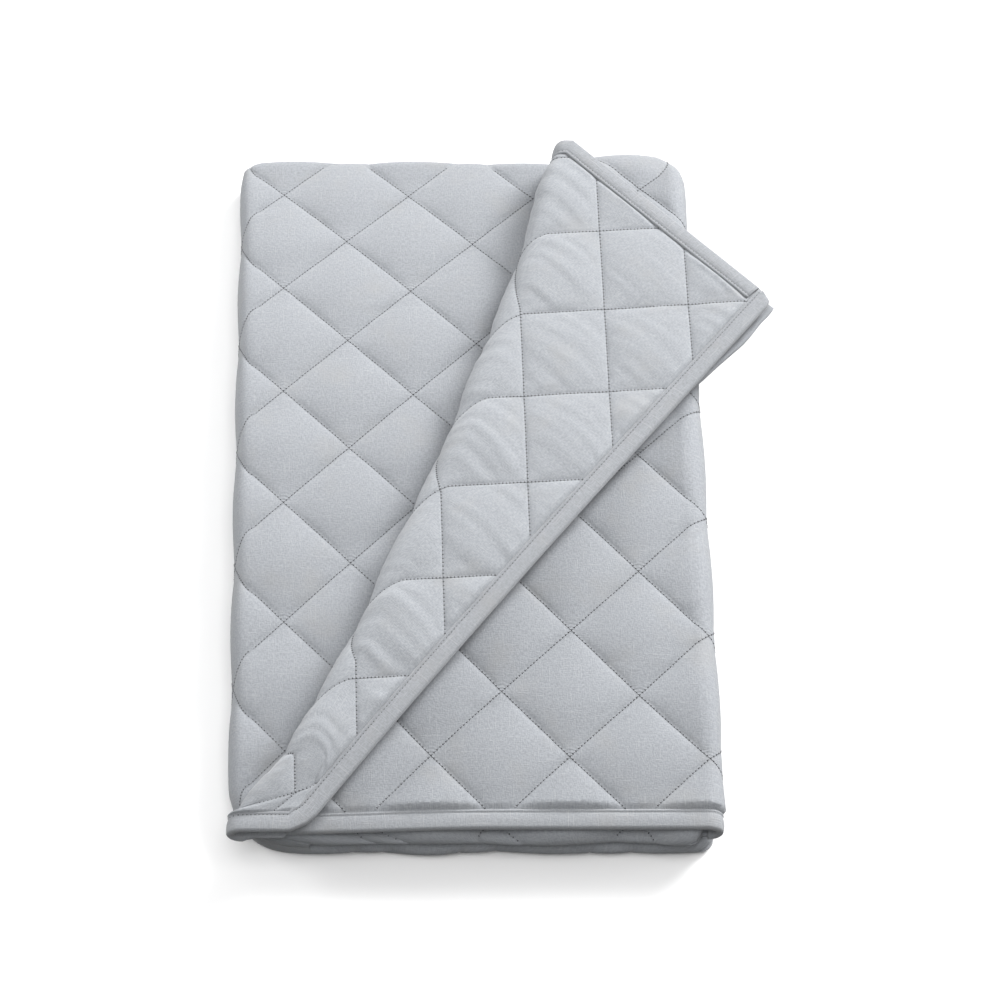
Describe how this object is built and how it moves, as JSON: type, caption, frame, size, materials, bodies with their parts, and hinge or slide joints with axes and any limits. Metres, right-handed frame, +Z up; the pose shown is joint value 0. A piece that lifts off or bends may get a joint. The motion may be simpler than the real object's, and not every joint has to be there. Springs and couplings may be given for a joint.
{
  "type": "bedspread",
  "caption": "Folded quilted bedspread with a diamond quilt, bound edges and one corner of the top layer turned back over the stack.",
  "frame": {"origin": "on the resting surface under the middle of the folded stack, without its turned-back corner", "axes": "+Z up from the resting surface, -Y towards the bound front edge, +X towards the right-hand fold"},
  "size_m": [0.5961, 0.8664, 0.1136],
  "materials": {
    "quilted_cloth": "matt woven linen look, light cool grey",
    "binding_cloth": "matt plain weave, light cool grey"
  },
  "bodies": {
    "root": {"quilt": "quilted_cloth", "binding_front": "binding_cloth", "binding_end": "binding_cloth", "binding_back": "binding_cloth"}
  },
  "joints": []
}
